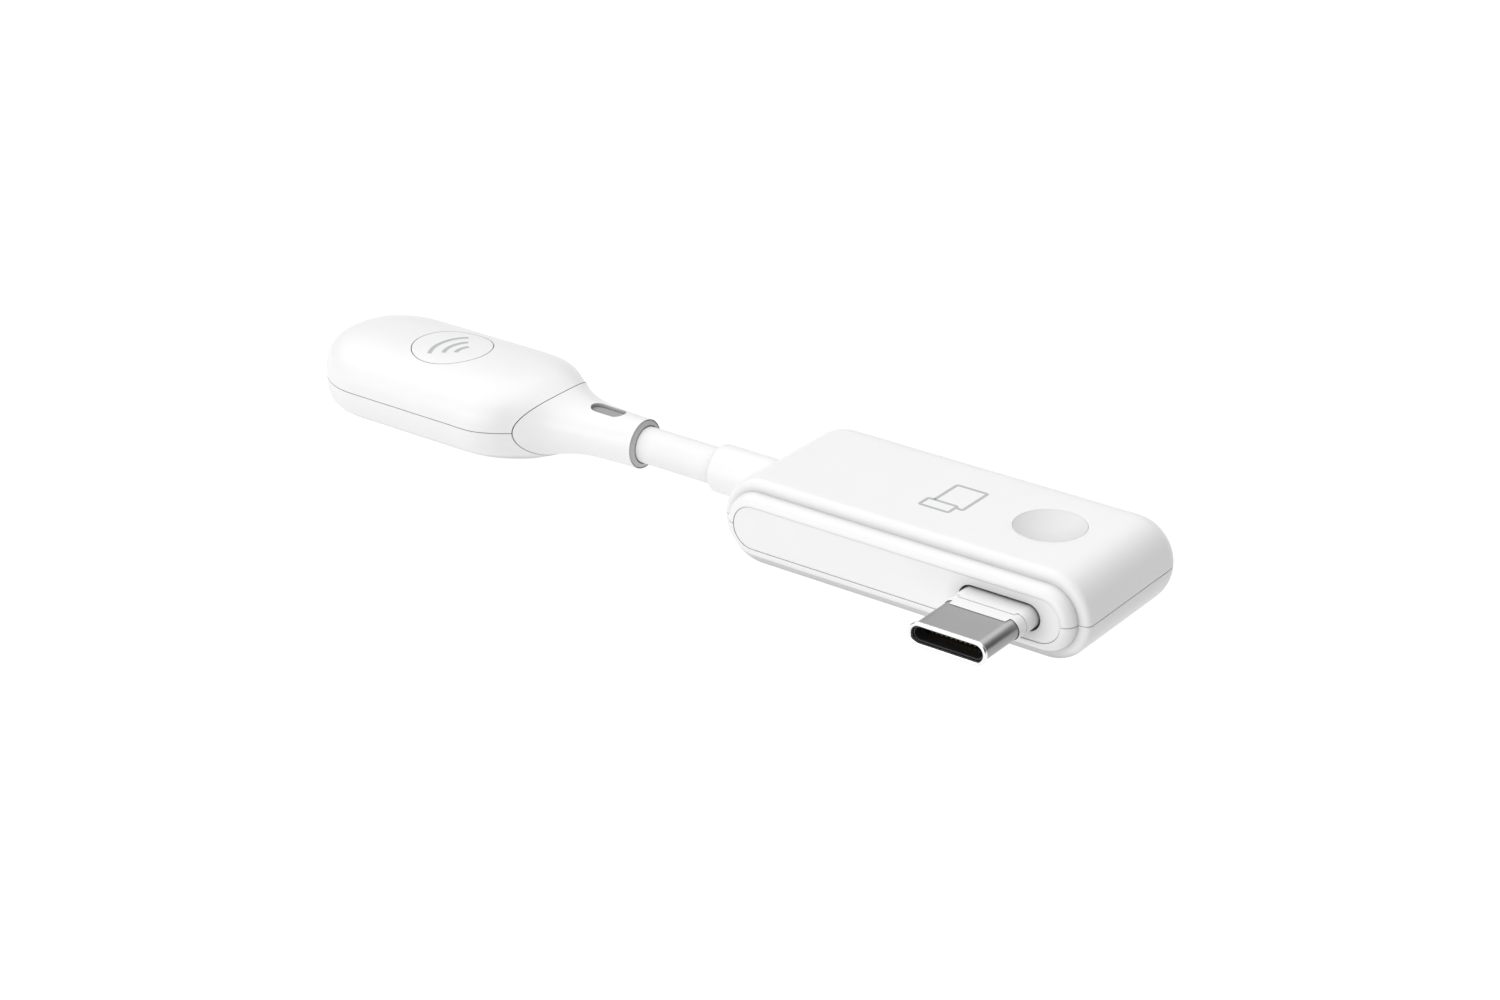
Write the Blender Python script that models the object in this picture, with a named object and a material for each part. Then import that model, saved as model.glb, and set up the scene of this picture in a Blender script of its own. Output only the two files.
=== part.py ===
"""Wireless display transmitter: a main box with a USB-C plug, a short cable and an antenna pod.

Metres, +Z up. The origin is the centre of the main box's flat underside. +X runs from the
antenna pod towards the box's far end, and the plug points along -Y.
"""
import math

import bmesh
import bpy
from mathutils import Vector

MM = 0.001

# Clearances between separate pieces
CASE_GAP = 0.3 * MM
FINE_GAP = 0.15 * MM

# Main box: a lying stadium section, extruded along Y
THICKNESS = 8.7 * MM
MID_Z = THICKNESS / 2
BOX_HALF_STRAIGHT = 15.85 * MM
BOX_RADIUS = THICKNESS / 2
BOX_DEPTH = 18.5 * MM
FRONT_Y = -BOX_DEPTH / 2
BACK_Y = BOX_DEPTH / 2
BACK_ROUND = 3.0 * MM
WALL = 1.2 * MM

# The two rounded bands that run round the front edge, the crease between them, and the panel
PANEL_RADIUS = 2.2 * MM
BAND_END_RADIUS = PANEL_RADIUS + 0.12 * MM
CREASE_INSET = 1.08 * MM
BAND_DEPTH = 1.33 * MM
FILLET_DEPTH = 0.93 * MM
PANEL_RECESS = 0.05 * MM
PANEL_EDGE = 0.12 * MM
PANEL_BACK_Y = FRONT_Y + 0.95 * MM

# USB-C plug: rim 8.25 x 2.40 mm round a slightly smaller shell, held in a stepped white collar
PLUG_X = 11.6 * MM
PLUG_TIP_Y = FRONT_Y - 8.56 * MM
RIM_HALF = (4.125 * MM, 1.2 * MM)
RIM_DEPTH = 0.35 * MM
SHELL_HALF = (3.95 * MM, 1.03 * MM)
SHELL_WALL = 0.2 * MM
SHELL_BACK_Y = -6.6 * MM
COLLAR_HALF = (4.1 * MM, 1.17 * MM)
COLLAR_STEP = 0.02 * MM
COLLAR_FIT = 0.03 * MM
COLLAR_NOTCH = 0.7 * MM
SLOT_GAP = 0.2 * MM
COLLAR_STEP_Y = FRONT_Y - 2.05 * MM
COLLAR_FRONT_Y = FRONT_Y - 3.6 * MM
FLANGE_HALF = (5.1 * MM, 1.95 * MM)
FLANGE_FRONT_Y = -7.95 * MM
FLANGE_BACK_Y = -7.15 * MM
INSERT_RECESS = 0.4 * MM
INSERT_FIT = 0.06 * MM
INSERT_WALL = 0.15 * MM
CONTACT_RECESS = 1.6 * MM
CONTACT_COUNT = 12
CONTACT_PITCH = 0.5 * MM
CONTACT_WIDTH = 0.22 * MM
CONTACT_INNER = 0.42 * MM
CONTACT_OUTER = 0.5 * MM

# Round push button in the top face, with its boss over the switch
BUTTON_X = 11.0 * MM
BUTTON_Y = 0.2 * MM
BUTTON_RADIUS = 3.3 * MM
BUTTON_DISH = 0.4 * MM
BUTTON_SKIRT_Z = 6.85 * MM
BUTTON_FLANGE_Z = 7.2 * MM
BUTTON_BOSS_Z = 6.45 * MM
BUTTON_BOSS_RADIUS = 0.9 * MM
PLUNGER_RADIUS = 0.75 * MM

# Circuit boards
BOARD_THICKNESS = 0.6 * MM
BOARD_TOP = MID_Z + BOARD_THICKNESS / 2
BOARD_BOTTOM = MID_Z - BOARD_THICKNESS / 2
CHIP_Z = BOARD_TOP + CASE_GAP
UNDER_Z = BOARD_BOTTOM - CASE_GAP
POST_RADIUS = 1.2 * MM
PIN_RADIUS = 0.6 * MM

# Cable between the box and the pod
CABLE_RADIUS = 1.87 * MM
JACKET_BORE = 1.45 * MM
BRAID_RADII = (1.3 * MM, 1.18 * MM)
# The twisted wires make one core: its outer radius over each wire, and between two wires
CORE_RADII = (1.03 * MM, 0.8 * MM)
WIRE_COUNT = 6
BOOT_END_X = -26.5 * MM
BOOT_INNER_X = -16.9 * MM
BOOT_RADIUS = 2.45 * MM
SLEEVE_END_X = -35.85 * MM
LINER_X = (-43.5 * MM, SLEEVE_END_X + 0.25 * MM)
LINER_RADII = (1.95 * MM, 2.2 * MM, 2.44 * MM)
LINER_FLANGE_X = -36.15 * MM

# Antenna pod: a superellipse section that narrows to the round sleeve at the cable
POD_END_X = -76.0 * MM
POD_CAP_X = -68.2 * MM
POD_HALF_WIDTH = 8.0 * MM
POD_CAP_POWER = 3.3
POD_SECTION_POWER = 2.67
SLEEVE_RADIUS = 2.58 * MM
SLEEVE_BORES = (2.3 * MM, 2.5 * MM)
CAVITY_END_X = -47.2 * MM
# (x, half width, half height) of the stretch from the pod's body to the sleeve
NECK_STATIONS = (
    (-55.0 * MM, POD_HALF_WIDTH, MID_Z),
    (-52.0 * MM, 7.95 * MM, 4.34 * MM),
    (-50.0 * MM, 7.2 * MM, 4.3 * MM),
    (-48.0 * MM, 5.85 * MM, 4.08 * MM),
    (-45.0 * MM, 4.05 * MM, 3.1 * MM),
    (-42.0 * MM, 3.2 * MM, 2.6 * MM),
    (-39.0 * MM, 2.8 * MM, 2.58 * MM),
    (SLEEVE_END_X, SLEEVE_RADIUS, SLEEVE_RADIUS),
)
CHEVRON_APEX_X = -48.15 * MM
CHEVRON_REACH = 4.0 * MM
CHEVRON_POWER = 1.85
NECK_SLOT_X = (-42.45 * MM, -38.4 * MM)
NECK_SLOT_WIDTH = 1.85 * MM
DISC_X = -61.0 * MM
DISC_RADIUS = 4.2 * MM
DISC_FLOOR_Z = 7.95 * MM

# Facets
BOX_ARC_STEPS = 12
PLUG_ARC_STEPS = 6
POD_SIDES = 28
ROUND_SIDES = 24
SMOOTH_ANGLE = math.radians(32)

SLOTS = {
    "white_plastic": ((0.86, 0.86, 0.86), 0.34, 0.0),
    "cable_jacket": ((0.84, 0.84, 0.84), 0.42, 0.0),
    "plug_metal": ((0.86, 0.86, 0.865), 0.36, 1.0),
    "contact_gold": ((0.80, 0.62, 0.32), 0.3, 1.0),
    "black_plastic": ((0.012, 0.012, 0.013), 0.5, 0.0),
    "circuit_board": ((0.02, 0.11, 0.06), 0.45, 0.0),
    "chip_black": ((0.02, 0.02, 0.022), 0.4, 0.0),
    "tin_plate": ((0.66, 0.67, 0.69), 0.35, 1.0),
    "ceramic": ((0.42, 0.32, 0.22), 0.6, 0.0),
    "grey_elastomer": ((0.50, 0.50, 0.505), 0.6, 0.0),
    "thermal_pad": ((0.40, 0.48, 0.60), 0.8, 0.0),
    "copper": ((0.72, 0.40, 0.24), 0.35, 1.0),
}


# ---------------------------------------------------------------- helpers

def clear_scene():
    for old in list(bpy.data.objects):
        bpy.data.objects.remove(old)


def make_materials():
    materials = {}
    for slot, (colour, roughness, metallic) in SLOTS.items():
        material = bpy.data.materials.new(slot)
        material.use_nodes = True
        shader = material.node_tree.nodes["Principled BSDF"]
        shader.inputs["Base Color"].default_value = (*colour, 1.0)
        shader.inputs["Roughness"].default_value = roughness
        shader.inputs["Metallic"].default_value = metallic
        materials[slot] = material
    return materials


def add_object(name, slot, mesh_data):
    """Turn a bmesh into a named object with its material and smooth round faces."""
    bmesh.ops.recalc_face_normals(mesh_data, faces=mesh_data.faces)
    mesh = bpy.data.meshes.new(name)
    mesh_data.to_mesh(mesh)
    mesh_data.free()
    mesh.shade_smooth()
    mesh.set_sharp_from_angle(angle=SMOOTH_ANGLE)
    piece = bpy.data.objects.new(name, mesh)
    if slot:
        mesh.materials.append(MATERIALS[slot])
    else:
        piece.hide_render = True
        piece.display_type = "WIRE"
    bpy.context.collection.objects.link(piece)
    return piece


def loft(name, slot, rings, closed=False):
    """Skin equal rings of points. A closed loft joins the last ring to the first."""
    mesh_data = bmesh.new()
    rows = [[mesh_data.verts.new(point) for point in ring] for ring in rings]
    count = len(rows[0])
    pairs = list(zip(rows, rows[1:]))
    if closed:
        pairs.append((rows[-1], rows[0]))
    else:
        mesh_data.faces.new(rows[0])
        mesh_data.faces.new(rows[-1])
    for first, second in pairs:
        for index in range(count):
            after = (index + 1) % count
            mesh_data.faces.new((first[index], first[after], second[after], second[index]))
    return add_object(name, slot, mesh_data)


def block(name, slot, low, high):
    """Rectangular solid between two opposite corners."""
    outline = ((low[0], low[1]), (high[0], low[1]), (high[0], high[1]), (low[0], high[1]))
    return loft(name, slot, [[Vector((x, y, z)) for x, y in outline] for z in (low[2], high[2])])


def standing_block(name, slot, centre, size, low_z):
    """Rectangular solid centred on an (x, y) point, with its underside at low_z."""
    low = (centre[0] - size[0] / 2, centre[1] - size[1] / 2, low_z)
    high = (centre[0] + size[0] / 2, centre[1] + size[1] / 2, low_z + size[2])
    return block(name, slot, low, high)


def z_circle(x, y, z, radius):
    steps = [math.tau * index / ROUND_SIDES for index in range(ROUND_SIDES)]
    return [Vector((x + radius * math.cos(a), y + radius * math.sin(a), z)) for a in steps]


def x_circle(x, radius, sides=ROUND_SIDES):
    """Circle round the cable's axis, which lies along X in the mid plane."""
    steps = [math.tau * index / sides for index in range(sides)]
    return [Vector((x, radius * math.cos(a), MID_Z + radius * math.sin(a))) for a in steps]


def stadium(y, half_straight, radius, centre_x=0.0, steps=BOX_ARC_STEPS):
    """Stadium outline in the XZ plane, on the mid plane of the box."""
    points = []
    for side, first in ((1, -math.pi / 2), (-1, math.pi / 2)):
        for step in range(steps + 1):
            angle = first + math.pi * step / steps
            x = centre_x + side * half_straight + radius * math.cos(angle)
            points.append(Vector((x, y, MID_Z + radius * math.sin(angle))))
    return points


def plug_outline(y, half_size, shrink=0.0):
    """Stadium of the plug's family: half_size is (half width, half height)."""
    half_height = half_size[1] - shrink
    return stadium(y, half_size[0] - half_size[1], half_height, PLUG_X, PLUG_ARC_STEPS)


def combine(target, tool, operation):
    modifier = target.modifiers.new(operation.lower(), "BOOLEAN")
    modifier.operation = operation
    modifier.object = tool
    modifier.solver = "EXACT"


def cut(target, *tools):
    for tool in tools:
        combine(target, tool, "DIFFERENCE")


def half_space(name, above):
    """Block that covers everything above or below the parting gap at the mid plane."""
    far = 0.2
    if above:
        return block(name, None, (-far, -far, MID_Z - CASE_GAP / 2), (far, far, far))
    return block(name, None, (-far, -far, -far), (far, far, MID_Z + CASE_GAP / 2))


# ---------------------------------------------------------------- main box

def box_rings():
    """Sections of the box from the panel line, over the two bands, to the rounded back."""
    crease_y = FRONT_Y + BAND_DEPTH
    side_y = crease_y + FILLET_DEPTH
    crease_radius = BOX_RADIUS - CREASE_INSET
    sections = []
    band_steps = 4
    for step in range(band_steps):
        angle = math.pi / 2 * step / band_steps
        y = crease_y - BAND_DEPTH * math.cos(angle)
        sections.append((y, BAND_END_RADIUS + (crease_radius - BAND_END_RADIUS) * math.sin(angle)))
    fillet_steps = 4
    for step in range(fillet_steps + 1):
        angle = math.pi / 2 * step / fillet_steps
        y = side_y - FILLET_DEPTH * math.cos(angle)
        sections.append((y, crease_radius + CREASE_INSET * math.sin(angle)))
    back_steps = 5
    for step in range(back_steps + 1):
        angle = math.pi / 2 * step / back_steps
        y = BACK_Y - BACK_ROUND * (1 - math.sin(angle))
        sections.append((y, BOX_RADIUS - BACK_ROUND * (1 - math.cos(angle))))
    return [stadium(y, BOX_HALF_STRAIGHT, radius) for y, radius in sections]


def box_cavity():
    """Room for the board, open at the front where the panel sits."""
    inner = BOX_RADIUS - WALL
    sections = (
        (FRONT_Y - 1.0 * MM, PANEL_RADIUS),
        (FRONT_Y + 1.25 * MM, PANEL_RADIUS),
        (FRONT_Y + 2.15 * MM, inner),
        (BACK_Y - BACK_ROUND, inner),
        (BACK_Y - WALL, inner - 1.0 * MM),
    )
    return loft("box_cavity", None, [stadium(y, BOX_HALF_STRAIGHT, radius) for y, radius in sections])


def build_box_shells():
    cavity = box_cavity()
    hole_low_x = -BOX_HALF_STRAIGHT - BOX_RADIUS - 1.0 * MM
    hole_high_x = -BOX_HALF_STRAIGHT - 1.0 * MM
    hole_radius = BOOT_RADIUS + CASE_GAP
    cable_hole = loft(
        "cable_hole", None, [x_circle(hole_low_x, hole_radius), x_circle(hole_high_x, hole_radius)])
    button_hole_radius = BUTTON_RADIUS + CASE_GAP
    button_hole = loft(
        "button_hole", None,
        [z_circle(BUTTON_X, BUTTON_Y, MID_Z, button_hole_radius),
         z_circle(BUTTON_X, BUTTON_Y, THICKNESS + 1.0 * MM, button_hole_radius)])

    top = loft("box_top_shell", "white_plastic", box_rings())
    cut(top, cavity, half_space("below_parting", above=False), cable_hole, button_hole)

    bottom = loft("box_bottom_shell", "white_plastic", box_rings())
    cut(bottom, cavity, half_space("above_parting", above=True), cable_hole)
    for index, (x, y) in enumerate(BOX_POSTS):
        post = loft(
            f"box_post_{index}", None,
            [z_circle(x, y, WALL - CASE_GAP, POST_RADIUS), z_circle(x, y, UNDER_Z, POST_RADIUS),
             z_circle(x, y, UNDER_Z, PIN_RADIUS), z_circle(x, y, CHIP_Z, PIN_RADIUS)])
        combine(bottom, post, "UNION")


BOX_POSTS = ((-12.6 * MM, 5.4 * MM), (15.2 * MM, 5.4 * MM))
POD_POSTS = ((-68.4 * MM, 0.0), (-52.2 * MM, 0.0))


def build_front_panel():
    """Flat panel sunk a little into the front opening, with a slot for the plug's collar."""
    radius = PANEL_RADIUS - FINE_GAP
    front_y = FRONT_Y + PANEL_RECESS
    sections = (
        (PANEL_BACK_Y, radius),
        (front_y + PANEL_EDGE, radius),
        (front_y, radius - PANEL_EDGE),
    )
    panel = loft(
        "front_panel", "white_plastic", [stadium(y, BOX_HALF_STRAIGHT, r) for y, r in sections])
    slot_half = (COLLAR_HALF[0] + SLOT_GAP, COLLAR_HALF[1] + SLOT_GAP)
    slot = loft("collar_slot", None, [
        plug_outline(front_y - 1.0 * MM, slot_half), plug_outline(PANEL_BACK_Y + 1.0 * MM, slot_half)])
    cut(panel, slot)


# ---------------------------------------------------------------- plug

def contact_comb(front_y, comb_y, back_y):
    """Outline of one row of contact strips, joined by the bar that solders to the board."""
    outline = []
    for index in range(CONTACT_COUNT):
        x = PLUG_X + (index - (CONTACT_COUNT - 1) / 2) * CONTACT_PITCH
        left, right = x - CONTACT_WIDTH / 2, x + CONTACT_WIDTH / 2
        outline += [(left, comb_y), (left, front_y), (right, front_y), (right, comb_y)]
    return outline + [(outline[-1][0], back_y), (outline[0][0], back_y)]


def build_plug():
    bore_half = (SHELL_HALF[0] + COLLAR_FIT, SHELL_HALF[1] + COLLAR_FIT)
    collar = loft("plug_collar", "white_plastic", [
        plug_outline(COLLAR_FRONT_Y, COLLAR_HALF, COLLAR_STEP),
        plug_outline(COLLAR_STEP_Y, COLLAR_HALF, COLLAR_STEP),
        plug_outline(COLLAR_STEP_Y, COLLAR_HALF),
        plug_outline(FLANGE_FRONT_Y, COLLAR_HALF),
        plug_outline(FLANGE_FRONT_Y, FLANGE_HALF),
        plug_outline(FLANGE_BACK_Y, FLANGE_HALF),
        plug_outline(FLANGE_BACK_Y, bore_half),
        plug_outline(COLLAR_FRONT_Y, bore_half),
    ], closed=True)
    flat_half = COLLAR_HALF[0] - COLLAR_HALF[1]
    for name, side in (("collar_notch_right", 1), ("collar_notch_left", -1)):
        low_x, high_x = sorted((PLUG_X + side * flat_half, PLUG_X + side * (flat_half + 3 * MM)))
        cut(collar, block(name, None, (low_x, COLLAR_FRONT_Y - 1 * MM, MID_Z - 3 * MM),
                          (high_x, COLLAR_FRONT_Y + COLLAR_NOTCH, MID_Z + 3 * MM)))

    inner_half = (SHELL_HALF[0] - SHELL_WALL, SHELL_HALF[1] - SHELL_WALL)
    lip = SHELL_WALL / 3
    loft("plug_shell", "plug_metal", [
        plug_outline(PLUG_TIP_Y, RIM_HALF, lip),
        plug_outline(PLUG_TIP_Y + lip, RIM_HALF),
        plug_outline(PLUG_TIP_Y + RIM_DEPTH, RIM_HALF),
        plug_outline(PLUG_TIP_Y + RIM_DEPTH, SHELL_HALF),
        plug_outline(SHELL_BACK_Y, SHELL_HALF),
        plug_outline(SHELL_BACK_Y, inner_half),
        plug_outline(PLUG_TIP_Y, inner_half),
    ], closed=True)

    insert_half = (inner_half[0] - INSERT_FIT, inner_half[1] - INSERT_FIT)
    slot_half = (insert_half[0] - INSERT_WALL, insert_half[1] - INSERT_WALL)
    insert_front_y = PLUG_TIP_Y + INSERT_RECESS
    insert_back_y = SHELL_BACK_Y - INSERT_RECESS
    loft("plug_insert", "black_plastic", [
        plug_outline(insert_front_y, insert_half),
        plug_outline(insert_back_y, insert_half),
        plug_outline(insert_back_y, slot_half),
        plug_outline(insert_front_y, slot_half),
    ], closed=True)

    contact_front_y = insert_front_y + CONTACT_RECESS
    contact_back_y = -5.4 * MM
    for name, side in (("plug_contacts_top", 1), ("plug_contacts_bottom", -1)):
        low_z, high_z = sorted((MID_Z + side * CONTACT_INNER, MID_Z + side * CONTACT_OUTER))
        outline = contact_comb(contact_front_y, insert_back_y + 0.2 * MM, contact_back_y)
        loft(name, "contact_gold", [[Vector((x, y, z)) for x, y in outline] for z in (low_z, high_z)])

    latch_x = (3.12 * MM, 3.3 * MM)
    latch_half_height = 0.25 * MM
    for name, side in (("plug_latch_right", 1), ("plug_latch_left", -1)):
        low_x, high_x = sorted((PLUG_X + side * latch_x[0], PLUG_X + side * latch_x[1]))
        block(name, "tin_plate",
              (low_x, contact_front_y, MID_Z - latch_half_height),
              (high_x, insert_back_y, MID_Z + latch_half_height))


# ---------------------------------------------------------------- button

def build_button():
    """Dished cap with a retaining flange under the shell and a boss over the switch."""
    dish_steps = 4
    sections = [
        (BUTTON_BOSS_Z, BUTTON_BOSS_RADIUS),
        (BUTTON_SKIRT_Z, BUTTON_BOSS_RADIUS),
        (BUTTON_SKIRT_Z, BUTTON_RADIUS + 0.6 * MM),
        (BUTTON_FLANGE_Z, BUTTON_RADIUS + 0.6 * MM),
        (BUTTON_FLANGE_Z, BUTTON_RADIUS),
    ]
    for step in range(dish_steps):
        share = 1 - step / dish_steps
        sections.append((THICKNESS - BUTTON_DISH * (1 - share ** 2), BUTTON_RADIUS * share))
    rings = [z_circle(BUTTON_X, BUTTON_Y, z, radius) for z, radius in sections]
    loft("button_cap", "white_plastic", rings)

    plunger_low_z = CHIP_Z + 0.5 * MM
    plunger_high_z = BUTTON_BOSS_Z - CASE_GAP
    loft("switch_plunger", "chip_black", [
        z_circle(BUTTON_X, BUTTON_Y, plunger_low_z, PLUNGER_RADIUS),
        z_circle(BUTTON_X, BUTTON_Y, plunger_high_z, PLUNGER_RADIUS)])

    housing = standing_block(
        "switch_housing", "tin_plate", (BUTTON_X, BUTTON_Y), (3.6 * MM, 3.6 * MM, 0.8 * MM), CHIP_Z)
    well = loft("switch_well", None, [
        z_circle(BUTTON_X, BUTTON_Y, CHIP_Z + 0.15 * MM, PLUNGER_RADIUS + CASE_GAP),
        z_circle(BUTTON_X, BUTTON_Y, CHIP_Z + 2.0 * MM, PLUNGER_RADIUS + CASE_GAP)])
    cut(housing, well)


# ---------------------------------------------------------------- boards

def build_board(name, low, high, posts):
    board = block(name, "circuit_board", (*low, BOARD_BOTTOM), (*high, BOARD_TOP))
    for index, (x, y) in enumerate(posts):
        radius = PIN_RADIUS + CASE_GAP
        hole = loft(f"{name}_hole_{index}", None, [
            z_circle(x, y, BOARD_BOTTOM - 1.0 * MM, radius), z_circle(x, y, BOARD_TOP + 1.0 * MM, radius)])
        cut(board, hole)


def build_can(name, centre, size):
    """Pressed lid, open towards the board."""
    wall = 0.2 * MM
    below = 1.0 * MM
    can = standing_block(name, "tin_plate", centre, size, CHIP_Z)
    room_size = (size[0] - 2 * wall, size[1] - 2 * wall, size[2] - wall + below)
    room = standing_block(f"{name}_room", None, centre, room_size, CHIP_Z - below)
    cut(can, room)


def row_of_chips(name, slot, count, first, pitch, size, low_z):
    """Separate small parts in a row along X, numbered from 1."""
    for index in range(count):
        centre = (first[0] + pitch * index, first[1])
        standing_block(f"{name}_{index + 1}", slot, centre, size, low_z)


def build_main_board():
    build_board("main_board", (-14.6 * MM, -6.1 * MM), (17.2 * MM, 7.0 * MM), BOX_POSTS)
    build_can("shield_can", (-4.4 * MM, -0.4 * MM), (14.6 * MM, 8.6 * MM, 1.5 * MM))
    for name, slot, centre, size, low_z in (
        ("video_processor", "chip_black", (-7.4, -0.4), (7.2, 7.2, 0.9), CHIP_Z),
        ("memory_chip", "chip_black", (-0.2, -0.4), (5.0, 7.0, 0.8), CHIP_Z),
        ("thermal_pad", "thermal_pad", (-7.0, -0.4), (8.0, 7.6, 0.45), CHIP_Z + 1.8 * MM),
        ("power_regulator", "chip_black", (5.6, 4.6), (3.0, 3.0, 0.8), CHIP_Z),
        ("crystal", "tin_plate", (5.4, 0.4), (2.0, 1.6, 0.6), CHIP_Z),
        ("plug_controller", "chip_black", (11.8, -1.6), (4.0, 4.0, 0.75), UNDER_Z - 0.75 * MM),
    ):
        standing_block(name, slot, [c * MM for c in centre], [c * MM for c in size], low_z)
    row_of_chips("inductor", "ceramic", 2, (4.9 * MM, -3.6 * MM), 2.5 * MM,
                 (2.0 * MM, 2.0 * MM, 1.1 * MM), CHIP_Z)
    row_of_chips("capacitor", "ceramic", 4, (-9.0 * MM, 5.6 * MM), 2.4 * MM,
                 (1.6 * MM, 0.8 * MM, 0.7 * MM), CHIP_Z)
    row_of_chips("resistor", "chip_black", 3, (-8.0 * MM, -3.0 * MM), 2.2 * MM,
                 (1.2 * MM, 0.7 * MM, 0.35 * MM), UNDER_Z - 0.35 * MM)


# ---------------------------------------------------------------- cable

def build_cable():
    """Jacket, braid and wires run straight from the box's board to the pod's board."""
    jacket_ends = (-44.2 * MM, -16.3 * MM)
    wire_ends = (-49.0 * MM, -15.0 * MM)
    loft("cable_jacket", "cable_jacket", [
        x_circle(jacket_ends[0], CABLE_RADIUS), x_circle(jacket_ends[1], CABLE_RADIUS),
        x_circle(jacket_ends[1], JACKET_BORE), x_circle(jacket_ends[0], JACKET_BORE),
    ], closed=True)
    braid_sides = 16
    loft("cable_braid", "tin_plate", [
        x_circle(jacket_ends[0], BRAID_RADII[0], sides=braid_sides),
        x_circle(jacket_ends[1], BRAID_RADII[0], sides=braid_sides),
        x_circle(jacket_ends[1], BRAID_RADII[1], sides=braid_sides),
        x_circle(jacket_ends[0], BRAID_RADII[1], sides=braid_sides),
    ], closed=True)
    core_rings = []
    for x in wire_ends:
        ring = []
        for step in range(2 * WIRE_COUNT):
            angle = math.pi * step / WIRE_COUNT
            radius = CORE_RADII[step % 2]
            ring.append(Vector((x, radius * math.cos(angle), MID_Z + radius * math.sin(angle))))
        core_rings.append(ring)
    loft("cable_conductors", "copper", core_rings)

    bore = CABLE_RADIUS + FINE_GAP
    lip = 0.45 * MM
    loft("cable_boot", "white_plastic", [
        x_circle(BOOT_END_X, bore),
        x_circle(BOOT_END_X, BOOT_RADIUS - lip / 2),
        x_circle(BOOT_END_X + lip / 2, BOOT_RADIUS - lip / 6),
        x_circle(BOOT_END_X + lip, BOOT_RADIUS),
        x_circle(BOOT_INNER_X, BOOT_RADIUS),
        x_circle(BOOT_INNER_X, bore),
    ], closed=True)

    loft("cable_liner", "grey_elastomer", [
        x_circle(LINER_X[1], LINER_RADII[0]), x_circle(SLEEVE_END_X, LINER_RADII[2]),
        x_circle(LINER_FLANGE_X, LINER_RADII[2]), x_circle(LINER_FLANGE_X, LINER_RADII[1]),
        x_circle(LINER_X[0], LINER_RADII[1]), x_circle(LINER_X[0], LINER_RADII[0]),
    ], closed=True)

    grommet_ends = (-46.8 * MM, -44.5 * MM)
    loft("cable_grommet", "black_plastic", [
        x_circle(grommet_ends[0], 1.95 * MM), x_circle(grommet_ends[1], 1.95 * MM),
        x_circle(grommet_ends[1], BRAID_RADII[0]), x_circle(grommet_ends[0], BRAID_RADII[0]),
    ], closed=True)


# ---------------------------------------------------------------- pod

def smooth_between(x, column):
    """Cubic Hermite value through NECK_STATIONS, with slopes from the neighbours."""
    table = NECK_STATIONS
    last = len(table) - 1
    index = max(i for i in range(last) if table[i][0] <= x + 1e-9)

    def slope(i):
        if i in (0, last):
            return 0.0
        return (table[i + 1][column] - table[i - 1][column]) / (table[i + 1][0] - table[i - 1][0])

    span = table[index + 1][0] - table[index][0]
    t = (x - table[index][0]) / span
    return ((2 * t ** 3 - 3 * t ** 2 + 1) * table[index][column]
            + (t ** 3 - 2 * t ** 2 + t) * span * slope(index)
            + (3 * t ** 2 - 2 * t ** 3) * table[index + 1][column]
            + (t ** 3 - t ** 2) * span * slope(index + 1))


def pod_size(x):
    """Half width, half height and section power of the pod's outside at x."""
    if x < POD_CAP_X:
        share = (POD_CAP_X - x) / (POD_CAP_X - POD_END_X)
        width = POD_HALF_WIDTH * math.sqrt(1 - share ** 2)
        height = MID_Z * (1 - share ** POD_CAP_POWER) ** (1 / POD_CAP_POWER)
        return width, height, POD_SECTION_POWER
    body_end_x = NECK_STATIONS[0][0]
    if x <= body_end_x:
        return POD_HALF_WIDTH, MID_Z, POD_SECTION_POWER
    roundness = min(1.0, (x - body_end_x) / (NECK_SLOT_X[1] - body_end_x))
    power = POD_SECTION_POWER + (2.0 - POD_SECTION_POWER) * roundness
    return smooth_between(x, 1), smooth_between(x, 2), power


def pod_ring(x, inset=0.0):
    width, height, power = pod_size(x)
    points = []
    for index in range(POD_SIDES):
        angle = math.tau * (index + 0.5) / POD_SIDES
        c, s = math.cos(angle), math.sin(angle)
        y = (width - inset) * math.copysign(abs(c) ** (2 / power), c)
        z = (height - inset) * math.copysign(abs(s) ** (2 / power), s)
        points.append(Vector((x, y, MID_Z + z)))
    return points


def pod_rings(inset=0.0, end_x=SLEEVE_END_X):
    """Sections from the pod's round end to end_x."""
    cap_steps = 7
    cap_length = POD_CAP_X - POD_END_X
    end_share = 0.995 - inset / cap_length
    shares = [math.sin(math.pi / 2 * (1 - step / cap_steps)) * end_share for step in range(cap_steps)]
    xs = [POD_CAP_X - cap_length * share for share in shares]
    xs += [POD_CAP_X, NECK_STATIONS[0][0]]
    neck_steps = 11
    for step in range(1, neck_steps + 1):
        xs.append(NECK_STATIONS[0][0] + (SLEEVE_END_X - NECK_STATIONS[0][0]) * step / neck_steps)
    return [pod_ring(x, inset) for x in xs if x < end_x - 1e-9] + [pod_ring(end_x, inset)]


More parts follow.
